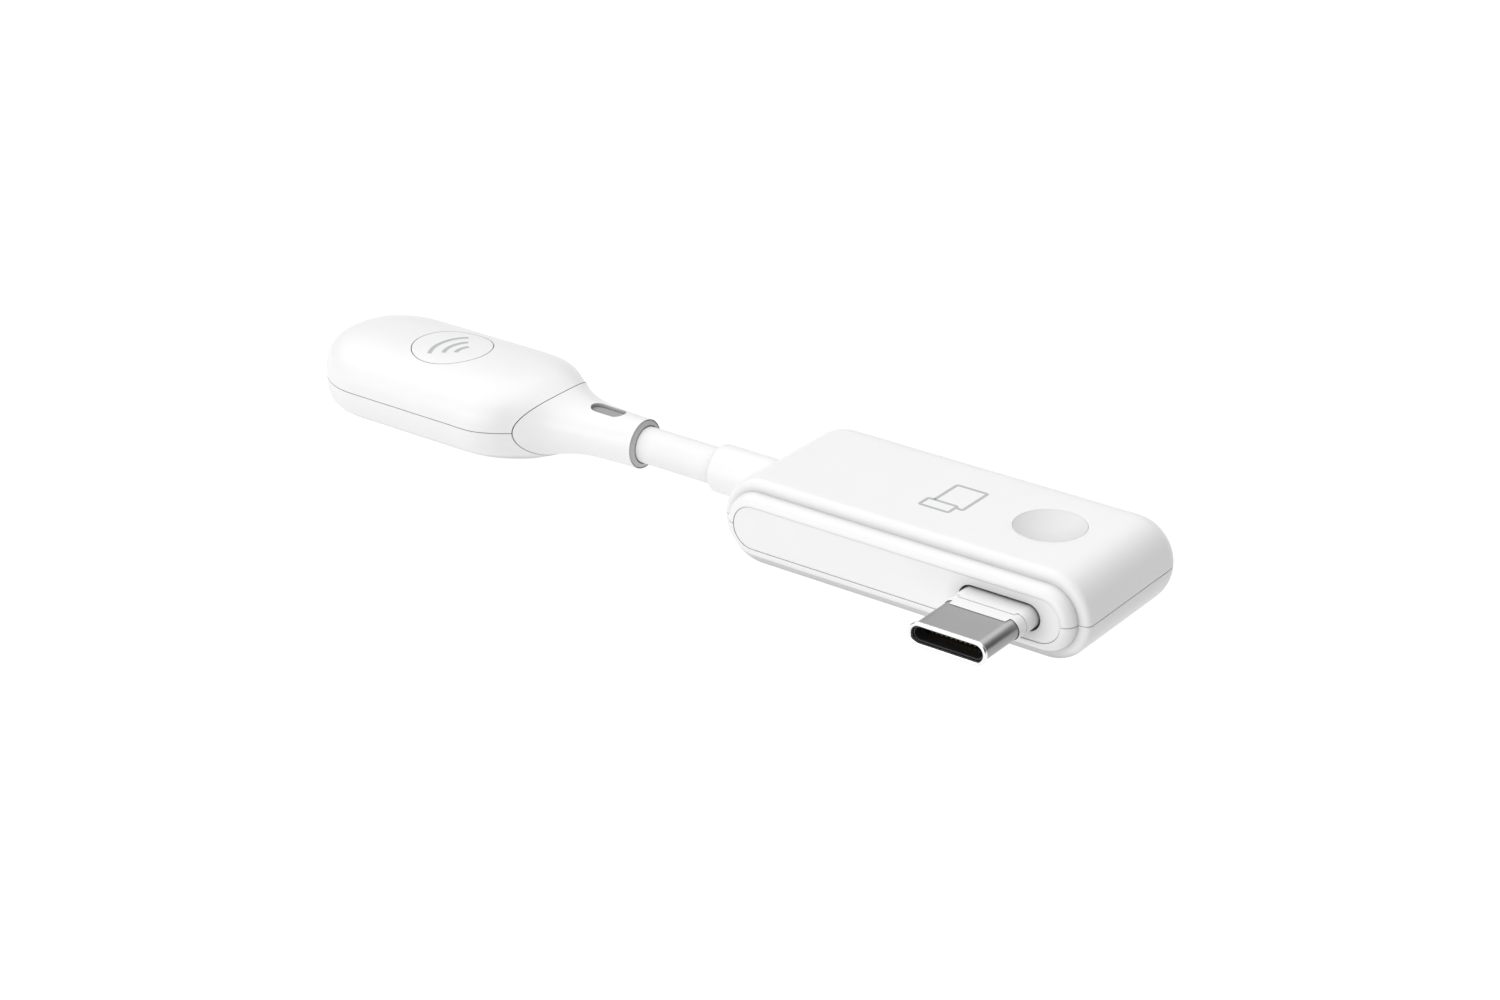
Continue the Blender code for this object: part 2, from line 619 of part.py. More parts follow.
def neck_region(name, offset):
    """Prism right of the rounded '<' seam between the pod's shells and its neck."""
    steps = 12
    reach = MID_Z + 1.5 * MM
    half_depth = POD_HALF_WIDTH + 2 * MM
    edge = []
    for step in range(steps + 1):
        rise = reach * (2 * step / steps - 1)
        x = CHEVRON_APEX_X + offset + CHEVRON_REACH * (abs(rise) / MID_Z) ** CHEVRON_POWER
        edge.append((x, MID_Z + rise))
    far_x = SLEEVE_END_X + 3 * MM
    outline = edge + [(far_x, MID_Z + reach), (far_x, MID_Z - reach)]
    rings = [[Vector((x, y, z)) for x, z in outline] for y in (-half_depth, half_depth)]
    return loft(name, None, rings)


def build_pod():
    cavity = loft("pod_cavity", None, pod_rings(inset=WALL, end_x=CAVITY_END_X))
    step_x = LINER_FLANGE_X - 0.06 * MM
    bore = loft("neck_bore", None, [
        x_circle(CAVITY_END_X - 2.0 * MM, SLEEVE_BORES[0]), x_circle(step_x, SLEEVE_BORES[0]),
        x_circle(step_x, SLEEVE_BORES[1]), x_circle(SLEEVE_END_X + 1.0 * MM, SLEEVE_BORES[1])])
    seam_gap = CASE_GAP / 2
    right_of_seam = neck_region("neck_region", seam_gap)
    shell_limit = neck_region("shell_limit", -seam_gap)

    disc_recess = loft("disc_recess", None, [
        z_circle(DISC_X, 0.0, DISC_FLOOR_Z - CASE_GAP, DISC_RADIUS + CASE_GAP),
        z_circle(DISC_X, 0.0, THICKNESS + 1.0 * MM, DISC_RADIUS + CASE_GAP)])
    top = loft("pod_top_shell", "white_plastic", pod_rings())
    cut(top, cavity, shell_limit, half_space("below_pod_parting", above=False), disc_recess)

    bottom = loft("pod_bottom_shell", "white_plastic", pod_rings())
    cut(bottom, cavity, shell_limit, half_space("above_pod_parting", above=True))
    for index, (x, y) in enumerate(POD_POSTS):
        post = loft(f"pod_post_{index}", None, [
            z_circle(x, y, WALL - CASE_GAP, POST_RADIUS), z_circle(x, y, UNDER_Z, POST_RADIUS),
            z_circle(x, y, UNDER_Z, PIN_RADIUS), z_circle(x, y, CHIP_Z, PIN_RADIUS)])
        combine(bottom, post, "UNION")

    neck = loft("pod_neck", "white_plastic", pod_rings())
    combine(neck, right_of_seam, "INTERSECT")
    slot_radius = NECK_SLOT_WIDTH / 2
    slot = block("neck_slot", None,
                 (NECK_SLOT_X[0] + slot_radius, -slot_radius, MID_Z + CABLE_RADIUS / 2),
                 (NECK_SLOT_X[1] - slot_radius, slot_radius, THICKNESS))
    cut(neck, cavity, bore, slot)
    for index, x in enumerate((NECK_SLOT_X[0] + slot_radius, NECK_SLOT_X[1] - slot_radius)):
        end = loft(f"neck_slot_end_{index}", None, [
            z_circle(x, 0.0, MID_Z + CABLE_RADIUS / 2, slot_radius),
            z_circle(x, 0.0, THICKNESS, slot_radius)])
        cut(neck, end)

    disc = loft("signal_disc", "white_plastic", pod_rings())
    disc_column = loft("disc_column", None, [
        z_circle(DISC_X, 0.0, DISC_FLOOR_Z, DISC_RADIUS),
        z_circle(DISC_X, 0.0, THICKNESS + 1.0 * MM, DISC_RADIUS)])
    combine(disc, disc_column, "INTERSECT")


def build_radio():
    build_board("radio_board", (-70.2 * MM, -5.4 * MM), (-50.2 * MM, 5.4 * MM), POD_POSTS)
    build_can("radio_shield_can", (-60.0 * MM, 0.0), (9.4 * MM, 8.4 * MM, 1.5 * MM))
    standing_block("radio_chip", "chip_black", (-60.6 * MM, 0.0), (6.0 * MM, 6.0 * MM, 0.8 * MM), CHIP_Z)
    standing_block("radio_crystal", "tin_plate", (-54.0 * MM, 3.4 * MM),
                   (2.0 * MM, 1.6 * MM, 0.6 * MM), UNDER_Z - 0.6 * MM)
    row_of_chips("radio_capacitor", "ceramic", 3, (-63.0 * MM, -3.4 * MM), 2.4 * MM,
                 (1.6 * MM, 0.8 * MM, 0.7 * MM), UNDER_Z - 0.7 * MM)

    plate = 0.2 * MM
    arm_z = CHIP_Z + 1.0 * MM
    low_x, high_x = -69.8 * MM, -66.4 * MM
    # Section of each bent strip, as (x, z) points: a leg on the board and a flat arm
    section = (
        (high_x - plate, CHIP_Z), (high_x, CHIP_Z), (high_x, arm_z + plate),
        (low_x, arm_z + plate), (low_x, arm_z), (high_x - plate, arm_z))
    for name, side in (("antenna_back", 1), ("antenna_front", -1)):
        rings = [[Vector((x, side * y, z)) for x, z in section] for y in (1.8 * MM, 5.0 * MM)]
        loft(name, "copper", rings)


clear_scene()
MATERIALS = make_materials()
build_box_shells()
build_front_panel()
build_plug()
build_button()
build_main_board()
build_cable()
build_pod()
build_radio()
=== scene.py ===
"""Looks of the wireless display transmitter: a white box with a USB-C plug, a cable and a pod.

Metres, in the CAD frame: +X runs from the pod to the box's far end, the plug points along -Y.
"""

import math

import bmesh
import bpy
from mathutils import Matrix, Vector


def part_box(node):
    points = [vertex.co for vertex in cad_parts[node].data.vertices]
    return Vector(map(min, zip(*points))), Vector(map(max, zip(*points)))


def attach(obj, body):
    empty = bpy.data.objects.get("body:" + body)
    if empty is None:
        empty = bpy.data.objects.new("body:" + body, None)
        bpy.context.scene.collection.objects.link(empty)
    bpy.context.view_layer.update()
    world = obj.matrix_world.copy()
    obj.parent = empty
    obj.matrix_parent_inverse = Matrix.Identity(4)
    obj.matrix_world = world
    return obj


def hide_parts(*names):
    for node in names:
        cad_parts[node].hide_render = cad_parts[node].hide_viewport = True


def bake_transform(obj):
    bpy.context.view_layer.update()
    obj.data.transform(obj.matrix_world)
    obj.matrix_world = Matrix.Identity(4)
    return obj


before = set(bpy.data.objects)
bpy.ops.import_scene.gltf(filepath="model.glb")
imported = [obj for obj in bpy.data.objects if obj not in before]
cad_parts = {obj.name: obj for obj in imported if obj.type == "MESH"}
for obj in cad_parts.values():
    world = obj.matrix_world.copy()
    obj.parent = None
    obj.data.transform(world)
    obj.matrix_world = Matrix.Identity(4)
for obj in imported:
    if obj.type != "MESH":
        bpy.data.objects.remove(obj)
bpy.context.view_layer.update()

MM = 0.001
scene = bpy.context.scene


# ---------------------------------------------------------------- camera, floor and light

CAMERA_PLACE = (0.14486, -0.22635, 0.13587)
CAMERA_RIGHT = Vector((0.80411, 0.59447, -0.00238)).normalized()
CAMERA_UP = Vector((-0.25369, 0.34678, 0.90299)).normalized()
CAMERA_LENS = 76.71
SENSOR_WIDTH = 36.0


def build_camera():
    back = CAMERA_RIGHT.cross(CAMERA_UP)
    up = back.cross(CAMERA_RIGHT)
    data = bpy.data.cameras.new("camera")
    data.lens = CAMERA_LENS
    data.sensor_width = SENSOR_WIDTH
    data.clip_start = 0.005
    camera = bpy.data.objects.new("camera", data)
    columns = (CAMERA_RIGHT, up, back, Vector(CAMERA_PLACE))
    rows = [[column[row] for column in columns] for row in range(3)] + [[0, 0, 0, 1]]
    camera.matrix_world = Matrix(rows)
    scene.collection.objects.link(camera)
    scene.camera = camera


def area_light(name, place, target, size, power):
    data = bpy.data.lights.new(name, "AREA")
    data.shape = "RECTANGLE"
    data.size, data.size_y = size
    data.energy = power
    lamp = bpy.data.objects.new(name, data)
    lamp.location = place
    aim = Vector(target) - Vector(place)
    lamp.rotation_euler = aim.to_track_quat("-Z", "Y").to_euler()
    scene.collection.objects.link(lamp)
    return lamp


# A white tent, open on the right and a little dimmer behind: its radiance by the direction's X,
# and a factor by the direction's Y
TENT_SIDES = ((-1.0, 0.15), (-0.6, 0.8), (0.05, 1.07), (0.72, 0.1), (1.0, 0.06))
TENT_DEPTH = ((-1.0, 1.0), (0.0, 1.0), (0.65, 0.75), (1.0, 0.7))
KEY_PLACE = (-0.12, 0.08, 0.77)
KEY_SIZE = (1.7, 1.7)
KEY_POWER = 9.0
FRONT_PLACE = (-0.15, -0.82, 0.18)
FRONT_SIZE = (1.0, 0.5)
FRONT_POWER = 3.0
OBJECT_MIDDLE = (-0.02, 0.0, 0.004)
FLOOR_REACH = 3.0
FLOOR_TONE = 0.02
FLOOR_ROUGHNESS = 0.9
FLOOR_GLOW = 1.0


def build_studio():
    scene.view_settings.view_transform = "Standard"
    world = bpy.data.worlds.new("studio")
    world.use_nodes = True
    nodes, links = world.node_tree.nodes, world.node_tree.links
    background = nodes["Background"]
    direction = nodes.new("ShaderNodeTexCoord")
    parts = nodes.new("ShaderNodeSeparateXYZ")
    links.new(direction.outputs["Generated"], parts.inputs["Vector"])
    tent = nodes.new("ShaderNodeVectorMath")
    tent.operation = "MULTIPLY"
    for index, (axis, table) in enumerate((("X", TENT_SIDES), ("Y", TENT_DEPTH))):
        share = nodes.new("ShaderNodeMapRange")
        share.inputs["From Min"].default_value = -1.0
        links.new(parts.outputs[axis], share.inputs["Value"])
        ramp = nodes.new("ShaderNodeValToRGB")
        ramp.color_ramp.interpolation = "EASE"
        stops = ramp.color_ramp.elements
        while len(stops) < len(table):
            stops.new(0.5)
        for stop, (along, value) in zip(stops, table):
            stop.position = (along + 1) / 2
            stop.color = (value, value, value, 1.0)
        links.new(share.outputs["Result"], ramp.inputs["Fac"])
        links.new(ramp.outputs["Color"], tent.inputs[index])
    links.new(tent.outputs["Vector"], background.inputs["Color"])
    scene.world = world

    area_light("key", KEY_PLACE, OBJECT_MIDDLE, KEY_SIZE, KEY_POWER)
    area_light("front", FRONT_PLACE, OBJECT_MIDDLE, FRONT_SIZE, FRONT_POWER)

    floor_data = bmesh.new()
    corners = ((-1, -1), (1, -1), (1, 1), (-1, 1))
    floor_data.faces.new([floor_data.verts.new((x * FLOOR_REACH, y * FLOOR_REACH, 0.0))
                          for x, y in corners])
    mesh = bpy.data.meshes.new("floor")
    floor_data.to_mesh(mesh)
    floor_data.free()
    floor = bpy.data.objects.new("floor", mesh)
    scene.collection.objects.link(floor)
    mesh.materials.append(floor_material())


def floor_material():
    material = bpy.data.materials.new("studio_floor")
    material.use_nodes = True
    shader = material.node_tree.nodes["Principled BSDF"]
    shader.inputs["Base Color"].default_value = (FLOOR_TONE, FLOOR_TONE, FLOOR_TONE, 1.0)
    shader.inputs["Roughness"].default_value = FLOOR_ROUGHNESS
    shader.inputs["Emission Color"].default_value = (1.0, 1.0, 1.0, 1.0)
    shader.inputs["Emission Strength"].default_value = FLOOR_GLOW
    return material


build_camera()
build_studio()


# ---------------------------------------------------------------- materials

# Reach and sample count of the ambient occlusion that paints shade into folds and seams
PAINTED_SHADE_REACH = 1.7 * MM
PAINTED_SHADE_SAMPLES = 8
# Noise cells per metre of the broad tone variation, and where its two tones are reached
TONE_SCALE = 260.0
TONE_RANGE = (0.3, 0.7)
BUMP_STRENGTH = 0.5


def surface(name, colour, roughness, metallic=0.0, mottle=0.03, grain=0.09 * MM,
            relief=0.004 * MM, gloss_spread=0.06, streak=None, specular=0.5, painted_crevice_shade=0.0):
    """Procedural finish: faint tone variation, uneven gloss and a fine moulded or brushed relief.

    grain is the size of the relief's cells, and streak stretches them along one axis, as brushing
    does. The last argument is painted shade: an ambient occlusion node darkens the colour where the
    surface folds in.
    """
    material = bpy.data.materials.new(name)
    material.use_nodes = True
    tree = material.node_tree
    nodes, links = tree.nodes, tree.links
    shader = nodes["Principled BSDF"]
    shader.inputs["Metallic"].default_value = metallic
    shader.inputs["Specular IOR Level"].default_value = specular

    place = nodes.new("ShaderNodeTexCoord")
    stretch = nodes.new("ShaderNodeMapping")
    stretch.inputs["Scale"].default_value = streak or (1.0, 1.0, 1.0)
    links.new(place.outputs["Object"], stretch.inputs["Vector"])

    broad = nodes.new("ShaderNodeTexNoise")
    broad.inputs["Scale"].default_value = TONE_SCALE
    broad.inputs["Detail"].default_value = 3.0
    links.new(place.outputs["Object"], broad.inputs["Vector"])
    tone = nodes.new("ShaderNodeValToRGB")
    darker = [channel * (1.0 - mottle) for channel in colour]
    for stop, position, shade in zip(tone.color_ramp.elements, TONE_RANGE, (darker, colour)):
        stop.position = position
        stop.color = (*shade, 1.0)
    links.new(broad.outputs["Fac"], tone.inputs["Fac"])
    # Painted shade: ambient occlusion darkens the base colour in folds, seams and near the floor
    if painted_crevice_shade:
        openness = nodes.new("ShaderNodeAmbientOcclusion")
        openness.samples = PAINTED_SHADE_SAMPLES
        openness.inputs["Distance"].default_value = PAINTED_SHADE_REACH
        depth = nodes.new("ShaderNodeMapRange")
        depth.inputs["To Min"].default_value = 1.0 - painted_crevice_shade
        links.new(openness.outputs["AO"], depth.inputs["Value"])
        painted_shade = nodes.new("ShaderNodeMix")
        painted_shade.data_type = "RGBA"
        painted_shade.blend_type = "MULTIPLY"
        painted_shade.inputs["Factor"].default_value = 1.0
        links.new(tone.outputs["Color"], painted_shade.inputs["A"])
        links.new(depth.outputs["Result"], painted_shade.inputs["B"])
        links.new(painted_shade.outputs["Result"], shader.inputs["Base Color"])
    else:
        links.new(tone.outputs["Color"], shader.inputs["Base Color"])

    fine = nodes.new("ShaderNodeTexNoise")
    fine.inputs["Scale"].default_value = 1.0 / grain
    fine.inputs["Detail"].default_value = 2.0
    links.new(stretch.outputs["Vector"], fine.inputs["Vector"])
    gloss = nodes.new("ShaderNodeMapRange")
    gloss.inputs["To Min"].default_value = roughness - gloss_spread
    gloss.inputs["To Max"].default_value = roughness + gloss_spread
    links.new(fine.outputs["Fac"], gloss.inputs["Value"])
    links.new(gloss.outputs["Result"], shader.inputs["Roughness"])

    bump = nodes.new("ShaderNodeBump")
    bump.inputs["Strength"].default_value = BUMP_STRENGTH
    bump.inputs["Distance"].default_value = relief
    links.new(fine.outputs["Fac"], bump.inputs["Height"])
    links.new(bump.outputs["Normal"], shader.inputs["Normal"])
    return material


BRUSHED = (0.06, 1.0, 1.0)
MATERIALS = {
    # The white and grey finishes carry painted shade in their folds
    "white_plastic": surface("moulded_white", (0.72, 0.72, 0.722), 0.36, mottle=0.012,
                             painted_crevice_shade=0.6),
    "cable_jacket": surface("soft_white", (0.71, 0.71, 0.712), 0.5, mottle=0.02, grain=0.14 * MM,
                            painted_crevice_shade=0.6),
    "plug_metal": surface("satin_nickel", (0.34, 0.34, 0.343), 0.34, 1.0, grain=0.06 * MM,
                          relief=0.001 * MM, streak=(1.0, 0.06, 1.0)),
    "contact_gold": surface("gold_plate", (0.80, 0.62, 0.32), 0.3, 1.0, streak=(1.0, 0.1, 1.0)),
    "black_plastic": surface("matt_black", (0.012, 0.012, 0.013), 0.5, mottle=0.2),
    "circuit_board": surface("solder_mask", (0.02, 0.11, 0.06), 0.42, mottle=0.35),
    "chip_black": surface("black_epoxy", (0.02, 0.02, 0.022), 0.5, mottle=0.25),
    "tin_plate": surface("dull_tin", (0.66, 0.67, 0.69), 0.38, 1.0, streak=BRUSHED),
    "ceramic": surface("tan_ceramic", (0.42, 0.32, 0.22), 0.6, mottle=0.12),
    "grey_elastomer": surface("grey_elastomer", (0.48, 0.48, 0.484), 0.6, mottle=0.05, painted_crevice_shade=0.9),
    "thermal_pad": surface("soft_pad", (0.40, 0.48, 0.60), 0.8, mottle=0.08),
    "copper": surface("bare_copper", (0.72, 0.40, 0.24), 0.38, 1.0, streak=BRUSHED),
    # A darker copy of the white plastic for the button: painted shade for its dish
    "button": surface("button_white_painted_shade", (0.61, 0.61, 0.613), 0.4, mottle=0.012),
    # A brighter copy of the plug's nickel: painted highlight along the plug's lip
    "rim": surface("nickel_painted_highlight", (0.90, 0.90, 0.905), 0.26, 1.0, grain=0.06 * MM,
                   relief=0.001 * MM),
    "liner": surface("shaded_elastomer", (0.29, 0.29, 0.292), 0.6, mottle=0.05, painted_crevice_shade=0.9),
    "print": surface("grey_print", (0.40, 0.405, 0.41), 0.5, mottle=0.04),
}


# ---------------------------------------------------------------- mesh helpers

SHARP_ANGLE = math.radians(30)


def link_mesh(name, mesh_data):
    bmesh.ops.remove_doubles(mesh_data, verts=mesh_data.verts, dist=1e-7)
    bmesh.ops.recalc_face_normals(mesh_data, faces=mesh_data.faces)
    mesh = bpy.data.meshes.new(name)
    mesh_data.to_mesh(mesh)
    mesh_data.free()
    piece = bpy.data.objects.new(name, mesh)
    scene.collection.objects.link(piece)
    return piece


def skin(name, rings, closed=False):
    """Join equal rings of points, with flat ends, or with the last ring joined to the first."""
    mesh_data = bmesh.new()
    rows = [[mesh_data.verts.new(point) for point in ring] for ring in rings]
    count = len(rows[0])
    pairs = list(zip(rows, rows[1:]))
    if closed:
        pairs.append((rows[-1], rows[0]))
    else:
        mesh_data.faces.new(rows[0])
        mesh_data.faces.new(rows[-1])
    for first, second in pairs:
        for index in range(count):
            after = (index + 1) % count
            mesh_data.faces.new((first[index], first[after], second[after], second[index]))
    return link_mesh(name, mesh_data)


def shape(piece, *steps):
    """Apply booleans in order. Each step is an operation and the tool, which is used up."""
    for operation, tool in steps:
        modifier = piece.modifiers.new(operation.lower(), "BOOLEAN")
        modifier.operation = operation
        modifier.object = tool
        modifier.solver = "EXACT"
    bpy.context.view_layer.update()
    evaluated = piece.evaluated_get(bpy.context.evaluated_depsgraph_get())
    mesh = bpy.data.meshes.new_from_object(evaluated)
    piece.modifiers.clear()
    piece.data = mesh
    for _, tool in steps:
        bpy.data.objects.remove(tool)
    return piece


def dress(piece, slot, body=None, replaced=(), finish=None):
    """Material, smooth shading with sharp creases, and the CAD body that the piece rides on."""
    mesh = piece.data
    mesh.materials.clear()
    mesh.materials.append(MATERIALS[finish or slot])
    mesh.shade_smooth()
    mesh.set_sharp_from_angle(angle=SHARP_ANGLE)
    evener = piece.modifiers.new("even_normals", "WEIGHTED_NORMAL")
    evener.keep_sharp = True
    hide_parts(*replaced)
    if body:
        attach(piece, body)
    return piece


def stadium(y, half_straight, radius, centre=(0.0, 0.0), steps=16, straight=1):
    """Stadium outline in a plane across Y, round an (x, z) centre."""
    points = []
    for side, first in ((1, -math.pi / 2), (-1, math.pi / 2)):
        for step in range(steps + 1):
            angle = first + math.pi * step / steps
            x = centre[0] + side * half_straight + radius * math.cos(angle)
            points.append(Vector((x, y, centre[1] + radius * math.sin(angle))))
        for step in range(1, straight):
            share = 1 - 2 * step / straight
            x = centre[0] + side * half_straight * share
            points.append(Vector((x, y, centre[1] + side * radius)))
    return points


def spun(name, profile, centre, axis, sides=96, closed=False):
    """Turned piece: the profile is (place along the axis, radius), round X or Z through centre."""
    rings = []
    for along, radius in profile:
        ring = []
        for index in range(sides):
            angle = math.tau * (index + 0.5) / sides
            c, s = radius * math.cos(angle), radius * math.sin(angle)
            if axis == "X":
                ring.append(Vector((along, centre[0] + c, centre[1] + s)))
            else:
                ring.append(Vector((centre[0] + c, centre[1] + s, along)))
        rings.append(ring)
    return skin(name, rings, closed)


def quarter(steps, start=0.0, end=90.0):
    """Pairs of cosine and sine over an arc, both ends included."""
    angles = [math.radians(start + (end - start) * step / steps) for step in range(steps + 1)]
    return [(math.cos(angle), math.sin(angle)) for angle in angles]


# ---------------------------------------------------------------- main box

BOX_LOW, BOX_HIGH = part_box("box_top_shell")
THICKNESS = BOX_HIGH.z
MID_Z = THICKNESS / 2
BOX_RADIUS = THICKNESS / 2
BOX_HALF_STRAIGHT = BOX_HIGH.x - BOX_RADIUS
FRONT_Y, BACK_Y = BOX_LOW.y, BOX_HIGH.y
BACK_ROUND = 3.0 * MM
WALL = 1.2 * MM
PANEL_RADIUS = 2.2 * MM
LIP = 0.03 * MM
CREASE_RADIUS = BOX_RADIUS - 1.08 * MM
CREASE_Y = FRONT_Y + 1.33 * MM
SIDE_Y = CREASE_Y + 0.93 * MM
# Under 1, the shoulder above the crease is fuller than a quarter of an ellipse
SHOULDER = 0.72
# Depths behind the front face at which the room inside starts to widen, and is at its widest
SEAT_DEPTH = 1.25 * MM
ROOM_DEPTH = 2.15 * MM
ROOM_CHAMFER = 1.0 * MM
PARTING_GAP = 0.025 * MM
PARTING_EDGE = 0.05 * MM
PARTING_STEPS = 3
INNER_EDGE = 0.01 * MM
ARC_STEPS = 18
STRAIGHT_STEPS = 28


def outer_profile():
    """(y, radius) from the panel's lip over both bands and the side to the back face."""
    profile = []
    band_radius = PANEL_RADIUS + 2 * LIP
    for c, s in quarter(12, 90.0, 0.0):
        radius = band_radius + (CREASE_RADIUS - band_radius) * c
        profile.append((CREASE_Y + (FRONT_Y - CREASE_Y) * s, radius))
    for c, s in quarter(12)[1:]:
        y = SIDE_Y - (SIDE_Y - CREASE_Y) * c ** SHOULDER
        profile.append((y, CREASE_RADIUS + (BOX_RADIUS - CREASE_RADIUS) * s ** SHOULDER))
    side_steps = 20
    back_start = BACK_Y - BACK_ROUND
    for step in range(1, side_steps):
        profile.append((SIDE_Y + (back_start - SIDE_Y) * step / side_steps, BOX_RADIUS))
    for c, s in quarter(16):
        profile.append((back_start + BACK_ROUND * s, BOX_RADIUS - BACK_ROUND * (1 - c)))
    return profile


def inner_profile(count):
    """(y, radius) of the room inside, with as many places as the outside has."""
    profile = [(FRONT_Y + LIP * (1 - s), PANEL_RADIUS + LIP * (1 - c))
               for c, s in quarter(3, 90.0, 0.0)]
    room = BOX_RADIUS - WALL
    corners = [profile[-1], (FRONT_Y + SEAT_DEPTH, PANEL_RADIUS), (FRONT_Y + ROOM_DEPTH, room),
               (BACK_Y - BACK_ROUND, room), (BACK_Y - WALL, room - ROOM_CHAMFER)]
    spans = [math.dist(a, b) for a, b in zip(corners, corners[1:])]
    rest = count - len(profile)
    for step in range(1, rest + 1):
        left = sum(spans) * step / rest
        for (a, b), span in zip(zip(corners, corners[1:]), spans):
            if left <= span * 1.000001:
                share = left / span
                profile.append((a[0] + (b[0] - a[0]) * share, a[1] + (b[1] - a[1]) * share))
                break
            left -= span
    return profile


def half_outline(y, radius, side, edge):
    """Half a stadium from the right end of the parting plane over to the left end.

    Above the plane for side 1 and below it for -1. edge rounds the two ends.
    """
    low = PARTING_GAP + edge
    start = math.asin(low / radius)
    right = []
    centre_x = BOX_HALF_STRAIGHT + radius * math.cos(start) - edge
    for c, s in quarter(PARTING_STEPS, 90.0, 0.0)[:-1]:
        right.append((centre_x + edge * c, low - edge * s))
    for step in range(ARC_STEPS + 1):
        angle = start + (math.pi / 2 - start) * step / ARC_STEPS
        right.append((BOX_HALF_STRAIGHT + radius * math.cos(angle), radius * math.sin(angle)))
    flat = [(BOX_HALF_STRAIGHT * (1 - 2 * step / STRAIGHT_STEPS), radius)
            for step in range(1, STRAIGHT_STEPS)]
    left = [(-x, rise) for x, rise in reversed(right)]
    return [Vector((x, y, MID_Z + side * rise)) for x, rise in right + flat + left]


def box_half(name, side):
    """One moulded half of the box, with a rounded parting edge."""
    outside = outer_profile()
    inside = inner_profile(len(outside))
    mesh_data = bmesh.new()
    rows = []
    for outer, inner in zip(outside, inside):
        rows.append([[mesh_data.verts.new(point) for point in half_outline(*place, side, edge)]
                     for place, edge in ((outer, PARTING_EDGE), (inner, INNER_EDGE))])
    last_over, last_under = rows[-1]
    for index in range(PARTING_STEPS):
        shift = PARTING_EDGE * (1 - quarter(PARTING_STEPS, 90.0, 0.0)[index][0])
        last_over[index].co.y -= shift
        last_over[-1 - index].co.y -= shift
    last = len(last_over) - 1
    for (over, under), (next_over, next_under) in zip(rows, rows[1:]):
        for index in range(last):
            mesh_data.faces.new((over[index], over[index + 1],
                                 next_over[index + 1], next_over[index]))
            mesh_data.faces.new((under[index], next_under[index],
                                 next_under[index + 1], under[index + 1]))
        for index in (0, last):
            mesh_data.faces.new((over[index], next_over[index], next_under[index], under[index]))
    front_over, front_under = rows[0]
    for index in range(last):
        mesh_data.faces.new((front_over[index], front_over[index + 1],
                             front_under[index + 1], front_under[index]))
    for index in range(PARTING_STEPS):
        mesh_data.faces.new((last_over[index], last_over[index + 1],
                             last_over[-2 - index], last_over[-1 - index]))
    mesh_data.faces.new(last_over[PARTING_STEPS:len(last_over) - PARTING_STEPS])
    mesh_data.faces.new((last_over[0], last_over[-1], last_under[-1], last_under[0]))
    mesh_data.faces.new(last_under)
    return link_mesh(name, mesh_data)


BOOT_LOW, BOOT_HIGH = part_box("cable_boot")
BOOT_RADIUS = (BOOT_HIGH.z - BOOT_LOW.z) / 2
CAP_LOW, CAP_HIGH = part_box("button_cap")
BUTTON_CENTRE = ((CAP_LOW.x + CAP_HIGH.x) / 2, (CAP_LOW.y + CAP_HIGH.y) / 2)
BUTTON_RADIUS = 3.45 * MM
BUTTON_GAP = 0.02 * MM
BUTTON_EDGE = 0.03 * MM
BUTTON_DISH = 0.95 * MM
HOLE_EDGE = 0.025 * MM
BOOT_CLEARANCE = 0.06 * MM
# How far a cutting tool reaches past what it cuts
OVERSHOOT = 1.0 * MM
CABLE_AXIS = (0.0, MID_Z)


def build_box():
    hole_radius = BUTTON_RADIUS + BUTTON_GAP
    hole_profile = [(MID_Z + OVERSHOOT, hole_radius)]
    for c, s in quarter(4):
        hole_profile.append((THICKNESS - HOLE_EDGE * (1 - s), hole_radius + HOLE_EDGE * (1 - c)))
    hole_profile.append((THICKNESS + OVERSHOOT, hole_radius + HOLE_EDGE))

    def boot_hole():
        radius = BOOT_RADIUS + BOOT_CLEARANCE
        ends = [(BOX_LOW.x - OVERSHOOT, radius), (-BOX_HALF_STRAIGHT - OVERSHOOT, radius)]
        return spun("boot_hole", ends, CABLE_AXIS, "X")

    top = box_half("box_top", 1)
    shape(top, ("DIFFERENCE", spun("button_hole", hole_profile, BUTTON_CENTRE, "Z")),
          ("DIFFERENCE", boot_hole()))
    dress(top, "white_plastic", "main_box", ["box_top_shell"])

    bottom = box_half("box_bottom", -1)
    shape(bottom, ("DIFFERENCE", boot_hole()))
    dress(bottom, "white_plastic", "main_box", ["box_bottom_shell"])


# ---------------------------------------------------------------- front panel and plug

PANEL_BACK_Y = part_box("front_panel")[1].y
SHELL_LOW, SHELL_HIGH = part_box("plug_shell")
COLLAR_LOW, COLLAR_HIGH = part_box("plug_collar")
INSERT_LOW, INSERT_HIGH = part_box("plug_insert")
PLUG_X = (SHELL_LOW.x + SHELL_HIGH.x) / 2
RIM_HALF = ((SHELL_HIGH.x - SHELL_LOW.x) / 2, (SHELL_HIGH.z - SHELL_LOW.z) / 2)
RIM_DEPTH = 0.35 * MM
RIM_STEP = 0.17 * MM
RIM_WIDTH = 0.37 * MM
COLLAR_HALF = (4.1 * MM, 1.15 * MM)
COLLAR_NOTCH = 0.7 * MM
PANEL_GAP = 0.02 * MM
PANEL_RECESS = 0.05 * MM
SLOT_GAP = 0.22 * MM


def plug_ring(y, half_size, shrink=0.0, steps=20):
    half_straight = half_size[0] - half_size[1]
    return stadium(y, half_straight, half_size[1] - shrink, (PLUG_X, MID_Z), steps)


